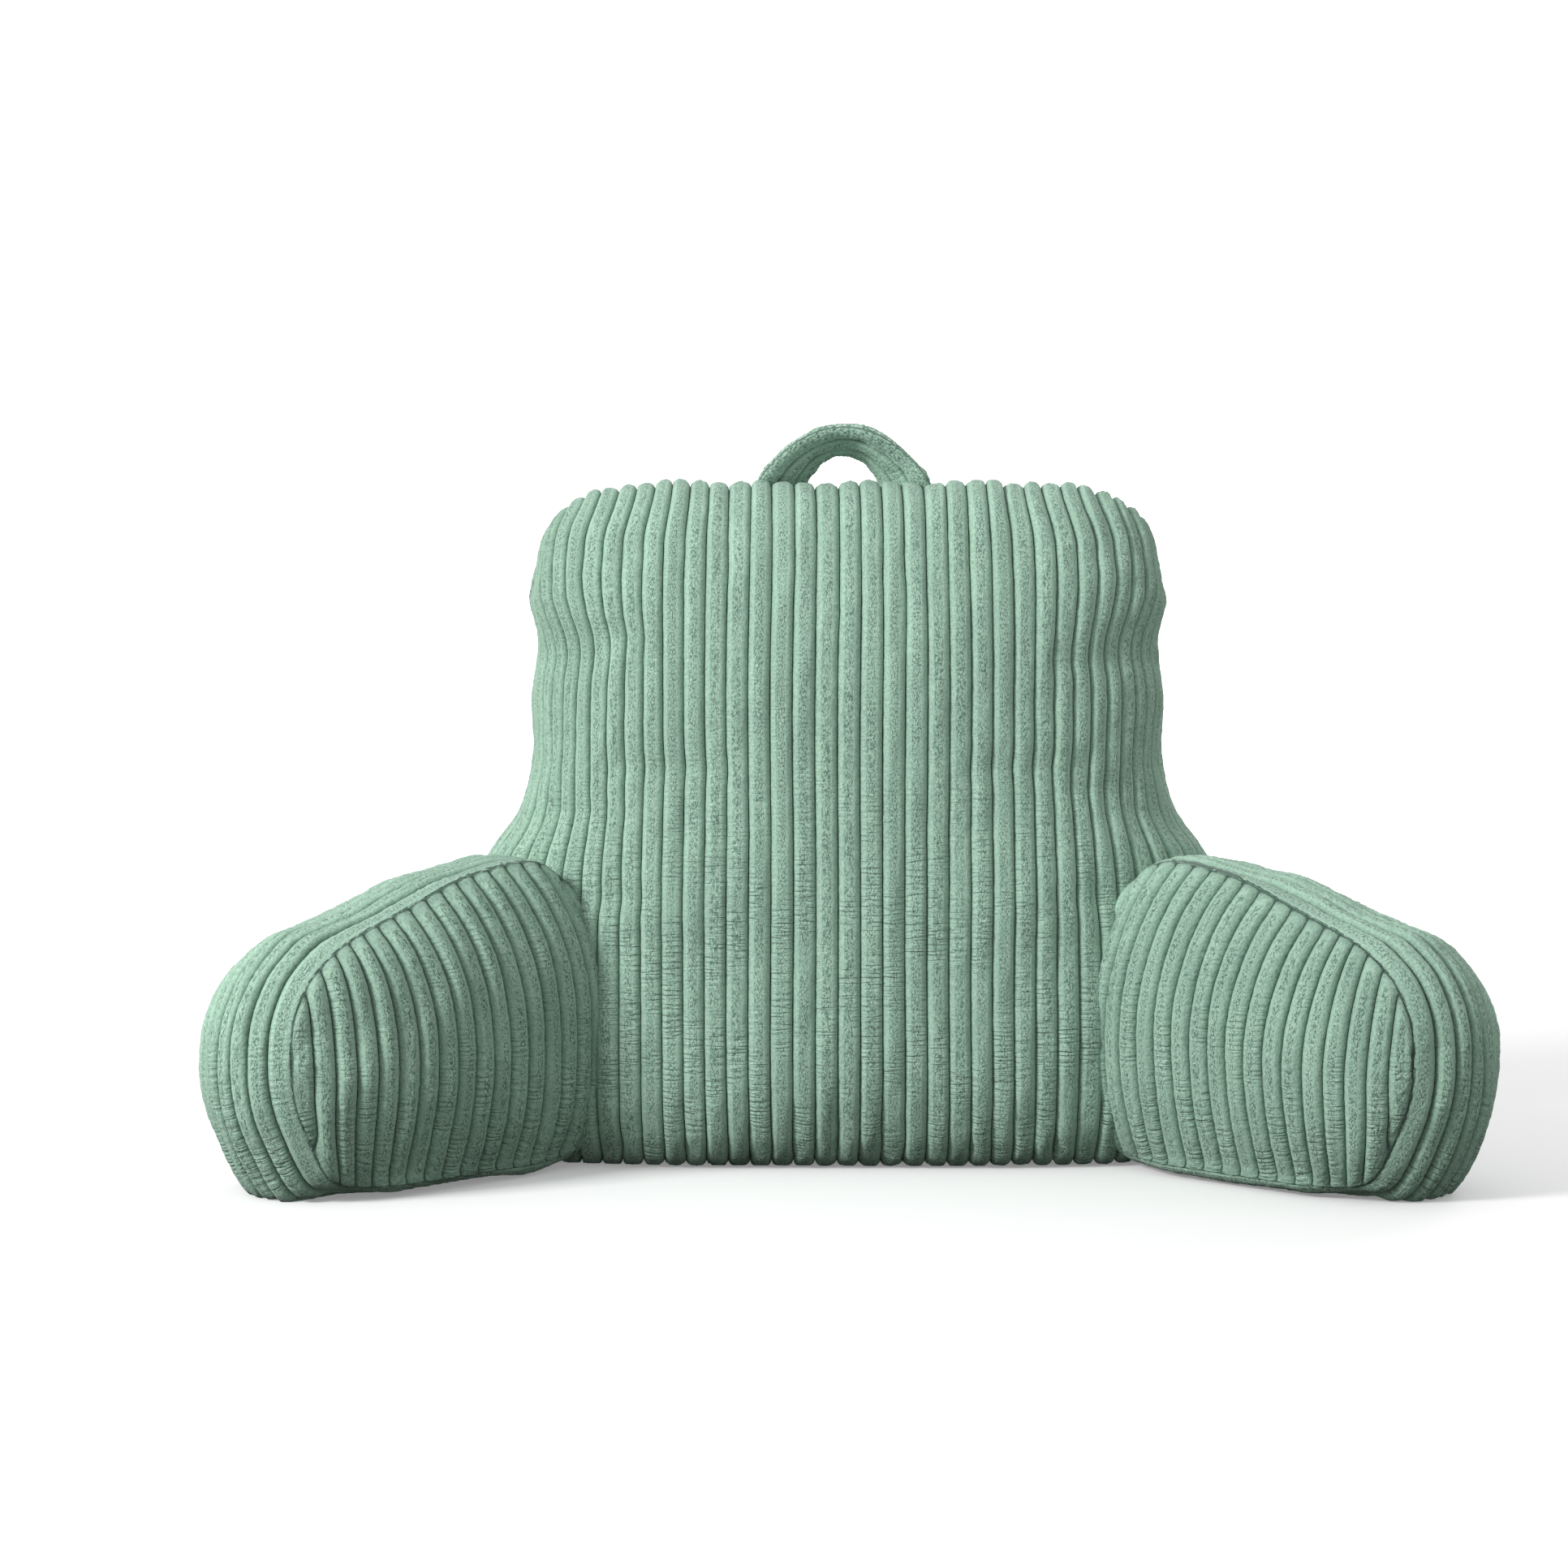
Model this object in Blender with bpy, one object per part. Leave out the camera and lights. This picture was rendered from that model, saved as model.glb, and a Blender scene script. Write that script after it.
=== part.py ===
"""Backrest pillow in wide-rib plush: a wedge back cushion, two splayed D-shaped arms and a carry handle.

Units are metres. +X is right, the front faces -Y and +Z is up. The origin is on the floor, under the
middle of the pillow's box.
"""

import math

import bmesh
import bpy
import numpy as np
from mathutils import Vector

# The front plane of the back cushion, behind the middle of the whole pillow's depth.
FRONT_Y = -0.0105

# The plush: round ribs side by side, with a narrow valley between them.
RIB_PITCH = 0.0145
RIB_DEPTH = 0.0042
COLUMNS_PER_RIB = 3
GAP = 0.0003
SOCKET_CLEARANCE = 0.0010
SOCKET_FLOOR = -0.0200
MERGE = 1e-6

# The back cushion, seen in plan: a full middle that turns back to a seam down each side.
BACK_HALF_WIDTH = 0.2141
SIDE_TURN = 3.0
SIDE_TURN_AT_BASE = 4.5
SIDE_TURN_STARTS_AT = 0.190
SIDE_TURN_FULL_AT = 0.340
SIDE_ROUND = 1.6
SIDE_RIBS_TURN = 0.120
FLARE_GATHER = 7
SHOULDER_SPREAD = 0.083
SHOULDER_WHERE = (0.345, 0.400)
THIN_RIBS_BELOW = 0.35

# The back cushion, seen from the side and from the front, from its floor line to its crest.
BACK_LEVELS = (
    # height, front, rear, half width
    (0.000, 0.032, 0.116, 0.2505),
    (0.012, 0.009, 0.139, 0.2640),
    (0.042, 0.000, 0.148, 0.2750),
    (0.100, -0.003, 0.151, 0.2795),
    (0.158, -0.001, 0.150, 0.2685),
    (0.206, 0.003, 0.148, 0.2425),
    (0.238, 0.006, 0.146, 0.2205),
    (0.275, 0.007, 0.143, 0.2118),
    (0.312, 0.007, 0.140, 0.2125),
    (0.349, 0.008, 0.136, 0.2080),
    (0.388, 0.013, 0.130, 0.2135),
    (0.416, 0.021, 0.122, 0.2112),
    (0.438, 0.034, 0.110, 0.2085),
    (0.451, 0.051, 0.093, 0.2062),
)
CREST = (0.4568, 0.072, 0.2040)  # height, depth, half width

# The top corners: the ribs end lower towards the sides, and lean in as they go over the crest.
CORNER_DROP = 0.043
CORNER_DROP_POWER = 10
CORNER_STARTS_AT = 0.350
CREST_GATHER = 0.010
CREST_GATHER_STARTS_AT = 0.415
UNEVEN_CREST = 0.0011

# The arms: a D-shaped cushion that stands on the floor and splays out from the back.
ARM_ROOT_X = 0.2115
ARM_SPLAY = math.radians(48)
ARM_ROOT = -0.070
ARM_TIP = 0.1888
ARM_WIDTH = 0.098
ROOT_SLANT = 0.050
ROOT_SLANT_ENDS_AT = 0.060
OUTER_DROP = 0.12
BOXING_CROWN = 0.025
BOXING_TOP_CROWN = 0.012
BOXING_FULL_WHERE = (0.15, 0.65)
BOXING_STATIONS = 26
PANEL_ROWS = 6
PANEL_CROWN = 0.030
PANEL_ROOT_FULLNESS = 5
PANEL_ROUND = 0.62
PANEL_RIM = 0.003
PANEL_INSET = 0.002

# The D outline of an arm, which is the line of its seams, from the root round the tip.
ARM_LOWER_EDGE = (
    # along, height
    (ARM_ROOT, 0.0350),
    (-0.045, 0.0100),
    (-0.015, 0.0010),
    (0.040, 0.0000),
    (0.090, 0.0000),
    (0.125, 0.0002),
    (0.1440, 0.0037),
    (0.1550, 0.0110),
    (0.1635, 0.0205),
    (0.1715, 0.0340),
    (0.1785, 0.0490),
    (0.1845, 0.0640),
    (0.1880, 0.0800),
    (ARM_TIP, 0.0950),
)
ARM_UPPER_EDGE = (
    (ARM_ROOT, 0.1500),
    (-0.050, 0.1740),
    (-0.030, 0.1950),
    (-0.012, 0.2065),
    (0.008, 0.2085),
    (0.032, 0.2055),
    (0.058, 0.2000),
    (0.084, 0.1905),
    (0.110, 0.1804),
    (0.132, 0.1722),
    (0.150, 0.1638),
    (0.164, 0.1535),
    (0.1755, 0.1420),
    (0.1835, 0.1270),
    (0.1875, 0.1130),
    (ARM_TIP, 0.0950),
)

# The carry handle: a padded strap of three ribs in an arch, its front edge the higher one.
HANDLE_RIBS = 3
HANDLE_STEPS = 18
HANDLE_EDGES = (
    # half span, top, spring height, depth, bend
    (0.0585, 0.4935, 0.454, 0.070, 1.7),
    (0.031, 0.4790, 0.442, 0.105, 1.1),
)
HANDLE_THICKNESS = 0.0095
HANDLE_EDGE_SHARE = 0.35
HANDLE_VALLEY_SHARE = 0.60
HANDLE_ROOT = 0.012
HANDLE_MIDDLE_X = -0.003

SAGE = (0.200, 0.330, 0.255, 1.0)
SAGE_LIGHT = (0.225, 0.360, 0.280, 1.0)
SAGE_DEEP = (0.180, 0.300, 0.232, 1.0)
PLUSH_ROUGHNESS = 0.95


def clear_scene():
    for old in list(bpy.data.objects):
        bpy.data.objects.remove(old, do_unlink=True)


def plush(name, colour):
    """A matt cloth finish."""
    material = bpy.data.materials.new(name)
    material.use_nodes = True
    shader = material.node_tree.nodes["Principled BSDF"]
    shader.inputs["Base Color"].default_value = colour
    shader.inputs["Roughness"].default_value = PLUSH_ROUGHNESS
    shader.inputs["Metallic"].default_value = 0.0
    material.diffuse_color = colour
    return material


def curve_through(rows, place, closed=False):
    """The smooth curve through the rows, read at place, where whole numbers are the rows themselves."""
    count = len(rows)
    start = math.floor(place) if closed else min(math.floor(place), count - 2)
    part = place - start
    if closed:
        near = [rows[(start + step) % count] for step in (-1, 0, 1, 2)]
    else:
        near = [rows[max(0, min(count - 1, start + step))] for step in (-1, 0, 1, 2)]
    return [
        0.5
        * (
            2 * b
            + (c - a) * part
            + (2 * a - 5 * b + 4 * c - d) * part**2
            + (3 * b - a - 3 * c + d) * part**3
        )
        for a, b, c, d in zip(*near)
    ]


def ease(value, start, end):
    """0 before start, 1 after end and a smooth rise between them."""
    share = max(0.0, min(1.0, (value - start) / (end - start)))
    return share * share * (3 - 2 * share)


def arc_of(places, heights):
    """The length of the line through the points, and the share of it that ends at each point."""
    steps = np.hypot(np.diff(places), np.diff(heights))
    length = np.concatenate(([0.0], np.cumsum(steps)))
    return length[-1], length / length[-1]


def column_depth(column):
    """How far a column of points lies under the crest of its rib."""
    return RIB_DEPTH if column % COLUMNS_PER_RIB == 0 else 0.0


def sunk_grid(name, columns, rows, place, depth, floor=0.0, finish=None):
    """A grid moved to place(column, row), with its valleys pushed in, kept above a floor and closed."""
    mesh = bmesh.new()
    bmesh.ops.create_grid(mesh, x_segments=columns, y_segments=rows, size=1.0)
    valley = mesh.verts.layers.float.new("valley")
    for point in mesh.verts:
        column = round((point.co.x + 1) / 2 * columns)
        row = round((point.co.y + 1) / 2 * rows)
        point[valley] = depth(column, row)
        point.co = place(column, row)
        point.co.z = max(floor, point.co.z)
    bmesh.ops.remove_doubles(mesh, verts=mesh.verts, dist=MERGE)
    if finish:
        finish(mesh)
    bmesh.ops.holes_fill(mesh, edges=mesh.edges, sides=0)
    bmesh.ops.recalc_face_normals(mesh, faces=mesh.faces)
    mesh.normal_update()
    inward = [(point, point.normal * point[valley]) for point in mesh.verts]
    for point, push in inward:
        point.co -= push
        point.co.z = max(floor, point.co.z)
    bmesh.ops.triangulate(mesh, faces=mesh.faces)
    data = bpy.data.meshes.new(name)
    mesh.to_mesh(data)
    mesh.free()
    data.shade_smooth()
    return bpy.data.objects.new(name, data)


def add_part(piece, material):
    piece.data.materials.append(material)
    parts.objects.link(piece)
    return piece


def add_cutter(piece):
    piece.hide_render = True
    piece.display_type = "WIRE"
    cutters.objects.link(piece)
    return piece


def cut(piece, cutter):
    boolean = piece.modifiers.new("socket for " + cutter.name, "BOOLEAN")
    boolean.operation = "DIFFERENCE"
    boolean.solver = "EXACT"
    boolean.object = cutter


# The back cushion


def back_loop():
    """One rib's way round: up the front, over the crest, down the rear and back under the cushion."""
    front = [(z, (f + r) / 2, (f - r) / 2, w) for z, f, r, w in BACK_LEVELS]
    crest = [(CREST[0], CREST[1], 0.0, CREST[2])]
    rear = [(z, middle, -half, w) for z, middle, half, w in reversed(front)]
    return front + crest + rear


def back_cross_section():
    """The number of ribs, and the place across at each share of the arc from the middle to a side seam."""
    across = 1 - (1 - np.linspace(0, 1, 400)) ** 2
    fullness = np.maximum(0.0, 1 - across**SIDE_TURN) ** (1 / SIDE_ROUND)
    half_arc, shares = arc_of(across * BACK_HALF_WIDTH, fullness * SIDE_RIBS_TURN)
    ribs_each_side = round(half_arc / RIB_PITCH - 0.5)
    return 2 * ribs_each_side + 1, (shares, across)


def back_point(share_across, share_round, loop, ribs, section):
    """A point of the back cushion's crest surface, from -1 to 1 across and 0 to 1 round the loop."""
    side = math.copysign(1, share_across)
    across = float(np.interp(abs(share_across), *section))
    height, middle, half, half_width = curve_through(loop, share_round * len(loop), closed=True)
    narrow = ease(height, SIDE_TURN_STARTS_AT, SIDE_TURN_FULL_AT)
    turn = SIDE_TURN_AT_BASE + (SIDE_TURN - SIDE_TURN_AT_BASE) * narrow
    full = max(0.0, 1 - across**turn) ** (1 / SIDE_ROUND)
    spread = 1 + (half_width / BACK_HALF_WIDTH - 1) * across**FLARE_GATHER
    rib = share_across * ribs / 2
    uneven = UNEVEN_CREST * (math.sin(1.3 * rib) + 0.6 * math.sin(2.9 * rib + 1))
    top_share = ease(height, CORNER_STARTS_AT, CREST[0])
    height -= top_share * (CORNER_DROP * across**CORNER_DROP_POWER - uneven * full)
    lean_in = CREST_GATHER * ease(height, CREST_GATHER_STARTS_AT, CREST[0]) * ease(across, 0.3, 0.8)
    across += SHOULDER_SPREAD * ease(height, *SHOULDER_WHERE) * across**6 * (1 - across**12)
    x = side * (BACK_HALF_WIDTH * across * spread - lean_in)
    return Vector((x, FRONT_Y + middle + half * full, height))


def make_back():
    loop = back_loop()
    ribs, section = back_cross_section()
    columns = ribs * COLUMNS_PER_RIB
    rows = len(loop)

    def place(column, row):
        return back_point(2 * column / columns - 1, row % rows / rows, loop, ribs, section)

    def depth(column, row):
        across = float(np.interp(abs(2 * column / columns - 1), *section))
        full = max(0.0, 1 - across**SIDE_TURN) ** (1 / SIDE_ROUND)
        return column_depth(column) * min(1.0, full / THIN_RIBS_BELOW)

    return sunk_grid("back_cushion", columns, rows, place, depth)


# The arms


def arm_point(side, along, through, height):
    """A point from its place along the arm, through its width from the inner seam, and its height.

    The root end slants, so that all of it is sewn into the side of the back cushion, and the arm's top
    slopes down to its outer seam.
    """
    share = max(0.0, min(1.0, through / ARM_WIDTH))
    along += ROOT_SLANT * share * (1 - ease(along, ARM_ROOT, ROOT_SLANT_ENDS_AT))
    forward = Vector((math.sin(ARM_SPLAY), -math.cos(ARM_SPLAY)))
    outward = Vector((math.cos(ARM_SPLAY), math.sin(ARM_SPLAY)))
    plan = forward * along + outward * through
    return Vector((side * (ARM_ROOT_X + plan.x), FRONT_Y + plan.y, height * (1 - OUTER_DROP * share)))


def edge_curve(edge):
    """An edge of the D as two lists, places along the arm and heights, ready to read between."""
    curve = np.array([curve_through(edge, place) for place in np.linspace(0, len(edge) - 1, 200)])
    return np.maximum.accumulate(curve[:, 0]), curve[:, 1]


def arm_outline():
    """Evenly spaced points of the D, from the root along the floor, round the tip and back over the top."""
    whole = list(ARM_LOWER_EDGE) + list(reversed(ARM_UPPER_EDGE[:-1]))
    fine = np.array([curve_through(whole, place) for place in np.linspace(0, len(whole) - 1, 400)])
    _, shares = arc_of(fine[:, 0], fine[:, 1])
    even = np.linspace(0, 1, BOXING_STATIONS)
    return np.column_stack([np.interp(even, shares, fine[:, axis]) for axis in (0, 1)])


def outward_of(outline):
    """The directions square to the D that point out of it."""
    ahead = np.gradient(outline, axis=0)
    ahead /= np.linalg.norm(ahead, axis=1)[:, None]
    return np.column_stack([ahead[:, 1], -ahead[:, 0]])


def make_boxing(name, side, grow=0.0):
    """The arm's filled body, with the ribs of its boxing strip running round the D and a flat root end."""
    outline = arm_outline()
    outward = outward_of(outline)
    across = np.linspace(-1, 1, 100)
    strip_width, _ = arc_of(across * ARM_WIDTH / 2, BOXING_CROWN * (1 - across**2))
    columns = round(strip_width / RIB_PITCH) * COLUMNS_PER_RIB
    rows = len(outline)

    def place(column, row):
        share = column / columns
        along, height = outline[row % rows]
        fill = ease(outward[row % rows][0], *BOXING_FULL_WHERE)
        crown = BOXING_TOP_CROWN + (BOXING_CROWN - BOXING_TOP_CROWN) * fill
        push = (crown * (1 - (2 * share - 1) ** 2) + grow) * outward[row % rows]
        width = ARM_WIDTH + 2 * grow
        back_off = grow if along == ARM_ROOT else 0.0
        return arm_point(side, along + push[0] - back_off, share * width - grow, height + push[1])

    def depth(column, row):
        return 0.0 if grow else column_depth(column)

    return sunk_grid(name, columns, rows, place, depth, SOCKET_FLOOR if grow else 0.0)


def panel_dome(along, share_up):
    """The height of a panel's crown, from 0 on its seam to 1 at its fullest."""
    across = 2 * (along - ARM_ROOT) / (ARM_TIP - ARM_ROOT) - 1
    fullness = 1 - abs(across) ** (PANEL_ROOT_FULLNESS if across < 0 else 2)
    up = 2 * share_up - 1
    return max(0.0, fullness * (1 - up**2)) ** PANEL_ROUND


def make_panel(name, side, outer, grow=0.0):
    """A D panel with upright ribs, crowned over the flat cheek of the arm."""
    lower, upper = edge_curve(ARM_LOWER_EDGE), edge_curve(ARM_UPPER_EDGE)
    fine = np.linspace(ARM_ROOT - grow, ARM_TIP - PANEL_INSET + grow, 300)
    panel_width, shares = arc_of(fine, np.array([PANEL_CROWN * panel_dome(x, 0.5) for x in fine]))
    columns = round(panel_width / RIB_PITCH) * COLUMNS_PER_RIB
    facing = 1 if outer else -1

    def place(column, row):
        along = float(np.interp(column / columns, shares, fine))
        share_up = (1 - math.cos(math.pi * row / PANEL_ROWS)) / 2
        low, high = np.interp(along, *lower), np.interp(along, *upper)
        half = max(0.0, (high - low) / 2 - PANEL_INSET + grow)
        height = (low + high) / 2 + (2 * share_up - 1) * half
        cheek = ARM_WIDTH if outer else 0.0
        rise = GAP + PANEL_RIM + grow + PANEL_CROWN * panel_dome(along, share_up)
        return arm_point(side, along, cheek + facing * rise, height)

    def depth(column, row):
        inside = 0 < row < PANEL_ROWS and 0 < column < columns
        return column_depth(column) if inside and not grow else 0.0

    def add_rim(mesh):
        """Takes the panel's edge square down to the cheek."""
        valley = mesh.verts.layers.float["valley"]
        edges = [edge for edge in mesh.edges if edge.is_boundary]
        made = bmesh.ops.extrude_edge_only(mesh, edges=edges)["geom"]
        rim = [part for part in made if isinstance(part, bmesh.types.BMVert)]
        for point in rim:
            point[valley] = 0.0
        inward = -facing * (PANEL_RIM + 2 * grow)
        outward = Vector((side * math.cos(ARM_SPLAY), math.sin(ARM_SPLAY), 0))
        bmesh.ops.translate(mesh, verts=rim, vec=outward * inward)

    return sunk_grid(name, columns, PANEL_ROWS, place, depth, SOCKET_FLOOR if grow else 0.0, add_rim)


def make_arm(name, side):
    """An arm's body and its two panels, with the sockets that they need in the back cushion."""
    sockets = [add_cutter(make_boxing(f"{name}_body_envelope", side, SOCKET_CLEARANCE))]
    add_part(make_boxing(f"{name}_boxing", side), plush(f"plush of the {name} boxing", SAGE_LIGHT))
    for where, outer in (("inner", False), ("outer", True)):
        panel = make_panel(f"{name}_{where}_panel", side, outer)
        add_part(panel, plush(f"plush of the {name} {where} panel", SAGE))
        envelope = make_panel(f"{name}_{where}_envelope", side, outer, SOCKET_CLEARANCE)
        sockets.append(add_cutter(envelope))
    return sockets


# The carry handle


def handle_edge(half_span, top, spring, depth, bend):
    """One edge of the strap: its arch, and the roots that go down into the cushion."""
    points = []
    for step in range(HANDLE_STEPS + 1):
        turn = math.pi * step / HANDLE_STEPS
        rise = (top - spring) * math.sin(turn) ** bend
        x = HANDLE_MIDDLE_X + half_span * math.cos(turn)
        points.append(Vector((x, FRONT_Y + depth, spring + rise)))
    root = Vector((0, 0, -HANDLE_ROOT))
    return [points[0] + root] + points + [points[-1] + root]


def make_handle(name, grow=0.0):
    front, rear = (handle_edge(*edge) for edge in HANDLE_EDGES)
    across = HANDLE_RIBS * COLUMNS_PER_RIB
    columns = 2 * (across + 1)
    rows = len(front) - 1
    middles = [(a + b) / 2 for a, b in zip(front, rear)]

    def place(column, row):
        column %= columns
        upper_face = column <= across
        share = (column if upper_face else columns - 1 - column) / across
        ahead = (middles[min(row + 1, rows)] - middles[max(row - 1, 0)]).normalized()
        width = rear[row] - front[row]
        face = width.cross(ahead).normalized()
        on_edge = share in (0, 1)
        in_valley = round(share * across) % COLUMNS_PER_RIB == 0
        fullness = HANDLE_EDGE_SHARE if on_edge else HANDLE_VALLEY_SHARE if in_valley else 1.0
        half = HANDLE_THICKNESS / 2 * (1.0 if grow else fullness) + grow
        stretch = width.normalized() * grow * (2 * share - 1)
        return front[row] + width * share + stretch + face * (half if upper_face else -half)

    return sunk_grid(name, columns, rows, place, lambda column, row: 0.0)


clear_scene()
parts = bpy.data.collections.new("backrest_pillow")
cutters = bpy.data.collections.new("socket_cutters")
for group in (parts, cutters):
    bpy.context.scene.collection.children.link(group)

back = add_part(make_back(), plush("plush of the back cushion", SAGE))
for arm_name, arm_side in (("arm_left", -1), ("arm_right", 1)):
    for socket in make_arm(arm_name, arm_side):
        cut(back, socket)
add_part(make_handle("carry_handle"), plush("plush of the carry handle", SAGE_DEEP))
cut(back, add_cutter(make_handle("handle_envelope", SOCKET_CLEARANCE)))
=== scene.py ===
"""Backrest pillow in wide-rib plush, dressed: its filled cushions, seams, ribs and short pile."""

import math

import bmesh
import bpy
import numpy as np
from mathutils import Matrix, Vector, kdtree


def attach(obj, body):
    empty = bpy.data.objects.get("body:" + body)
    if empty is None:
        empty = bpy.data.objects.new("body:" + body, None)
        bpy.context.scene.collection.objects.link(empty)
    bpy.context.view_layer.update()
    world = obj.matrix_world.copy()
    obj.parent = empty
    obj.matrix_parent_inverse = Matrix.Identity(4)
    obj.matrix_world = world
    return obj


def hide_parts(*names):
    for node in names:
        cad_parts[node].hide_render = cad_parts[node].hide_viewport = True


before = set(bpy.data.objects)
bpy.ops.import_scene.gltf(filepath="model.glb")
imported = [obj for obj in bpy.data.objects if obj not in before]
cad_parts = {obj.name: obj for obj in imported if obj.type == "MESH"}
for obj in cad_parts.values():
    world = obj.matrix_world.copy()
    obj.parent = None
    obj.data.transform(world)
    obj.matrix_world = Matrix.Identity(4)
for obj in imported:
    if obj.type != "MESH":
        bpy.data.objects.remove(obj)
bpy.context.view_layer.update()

# Everything is in metres, in the frame of the solids.
FRONT_Y = -0.0105
MERGE = 1e-6
# How many points a curve is measured at
SECTION_POINTS = 600
OUTLINE_POINTS = 800
EDGE_POINTS = 400
CROWN_POINTS = 500

# The plush
RIB_PITCH = 0.0145
RIB_DEPTH = 0.0052
RIB_STEPS = 12
RIB_SQUARENESS = 2.45
ARM_RIB_DEPTH = 0.0060
ARM_RIB_SQUARENESS = 2.1
PILE_JITTER = 0.00022
# The colours of the pile, of the painted shade where the pile is parted, of the painted glints on its
# tips, and of the painted shade in the valleys between ribs
PILE = (0.392, 0.592, 0.464)
PARTED_SHADE = (0.078, 0.160, 0.118)
TIP_GLINTS = (0.560, 0.755, 0.622)
VALLEY_SHADE = (0.018, 0.048, 0.036)
PILE_LENGTH = 0.0013
# How far the valleys between ribs are darkened by painted shade
VALLEY_SHADE_STRENGTH = 0.85
CRINKLE_STRENGTH = 0.75
PATTERN_APART = 0.37  # from one rib to the next
# How many of each pattern's bumps lie along a metre of cloth
PARTINGS_A_METRE = 48
SPECKS_A_METRE = 860
MOTTLES_A_METRE = 640
# The patches are painted shade, where the nap lies another way
SHADE_PATCHES_A_METRE = 22
CREASES_A_METRE = 460
CREASED_PLACES_A_METRE = 30

# The back cushion
BACK_HALF_WIDTH = 0.2141
SIDE_TURN = 3.0
SIDE_TURN_AT_BASE = 4.5
SIDE_TURN_STARTS_AT = 0.190
SIDE_TURN_FULL_AT = 0.340
SIDE_ROUND = 1.6
SIDE_RIBS_TURN = 0.120
FLARE_GATHER = 7
SHOULDER_SPREAD = 0.083
SHOULDER_WHERE = (0.345, 0.400)
SHOULDER_POWER = 6
SHOULDER_END_POWER = 12
THIN_RIBS_BELOW = 0.35
BACK_LEVELS = (
    # height, front, rear, half width
    (0.000, 0.032, 0.116, 0.2505),
    (0.012, 0.009, 0.139, 0.2640),
    (0.042, 0.000, 0.148, 0.2750),
    (0.100, -0.003, 0.151, 0.2795),
    (0.158, -0.001, 0.150, 0.2685),
    (0.206, 0.003, 0.148, 0.2425),
    (0.238, 0.006, 0.146, 0.2205),
    (0.275, 0.007, 0.143, 0.2118),
    (0.312, 0.007, 0.140, 0.2125),
    (0.349, 0.008, 0.136, 0.2080),
    (0.388, 0.013, 0.130, 0.2135),
    (0.416, 0.021, 0.122, 0.2112),
    (0.438, 0.034, 0.110, 0.2085),
    (0.451, 0.051, 0.093, 0.2062),
)
CREST = (0.4568, 0.072, 0.2040)  # height, depth, half width
CORNER_DROP = 0.043
CORNER_DROP_POWER = 10
CORNER_STARTS_AT = 0.350
CREST_GATHER = 0.010
CREST_GATHER_STARTS_AT = 0.415
CREST_GATHER_WHERE = (0.3, 0.8)
UNEVEN_CREST = 0.0011
CREST_WAVES = (
    # turn for each rib, share, start
    (1.3, 1.0, 0.0),
    (2.9, 0.6, 1.0),
)
BACK_RISE_ROWS = 102
BACK_BASE_ROWS = 16
BACK_SEED = 3
BACK_CRINKLES = (0.25, 0.16, 0.30)  # least, full below, least above

# The arms
ARM_ROOT_X = 0.2115
ARM_SPLAY = math.radians(48)
ARM_ROOT = -0.070
ARM_TIP = 0.1888
ARM_WIDTH = 0.098
ROOT_SLANT = 0.050
ROOT_SLANT_ENDS_AT = 0.060
OUTER_DROP = 0.12
BOXING_CROWN = 0.025
BOXING_TOP_CROWN = 0.012
BOXING_FULL_WHERE = (0.15, 0.65)
BOXING_STATIONS = 250
BOXING_LINE_POINTS = 100
BOXING_CRINKLES = (0.3, 0.03, 0.12)
PANEL_ROWS = 76
PANEL_CRINKLES = (0.45, 0.03, 0.15)
PANEL_CLOTH_LENGTH = 0.2
PANEL_APART = 5
PANEL_CROWN = 0.030
PANEL_ROOT_FULLNESS = 5
PANEL_BOW = 2.3
PANEL_BOW_POWER = 2.1
PANEL_BOW_STARTS_AT = 0.085
PANEL_TIP_WHERE = (0.100, 0.180)
PANEL_TIP_EASE = 0.75
PANEL_FOOT_LEAN = 0.018
PANEL_FOOT_TOP = 0.070
PANEL_OVER_TOP = 0.22  # a height above all of the panel
HALVINGS = 30  # of the stretch in which a rib's end is looked for
TIP_STARTS_AT = 0.1
FLOOR_ROLL = 0.011
FLOOR_ROLL_BELOW = (0.008, 0.030)
# The roll's shape, counted in ribs from the seam
ROLL_EASE = (0.1, 1.6)
ROLL_SINK = (0.1, 1.2)
ROLL_BELLY = 0.35
ROLL_BELLY_WIDTH = 1.2
FLOOR_ROLL_STARTS = (-0.050, 0.010)
FLOOR_ROLL_ENDS = (0.105, 0.150)
PANEL_ROUND = 0.62
PANEL_INSET = 0.0004
PANEL_RIM = 0.004
ARM_LOWER_EDGE = (
    # along, height
    (ARM_ROOT, 0.0350),
    (-0.045, 0.0125),
    (-0.015, 0.0090),
    (0.040, 0.0085),
    (0.090, 0.0085),
    (0.125, 0.0086),
    (0.1440, 0.0098),
    (0.1550, 0.0135),
    (0.1635, 0.0205),
    (0.1715, 0.0340),
    (0.1785, 0.0490),
    (0.1845, 0.0640),
    (0.1880, 0.0800),
    (ARM_TIP, 0.0950),
)
ARM_UPPER_EDGE = (
    (ARM_ROOT, 0.1500),
    (-0.050, 0.1740),
    (-0.030, 0.1950),
    (-0.012, 0.2065),
    (0.008, 0.2085),
    (0.032, 0.2055),
    (0.058, 0.2000),
    (0.084, 0.1905),
    (0.110, 0.1804),
    (0.132, 0.1722),
    (0.150, 0.1638),
    (0.164, 0.1535),
    (0.1755, 0.1420),
    (0.1835, 0.1270),
    (0.1875, 0.1130),
    (ARM_TIP, 0.0950),
)

ARMS = (
    # name, side, seed
    ("arm_left", -1, 20),
    ("arm_right", 1, 40),
)
PANEL_SEED = 5  # past the arm's own

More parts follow.
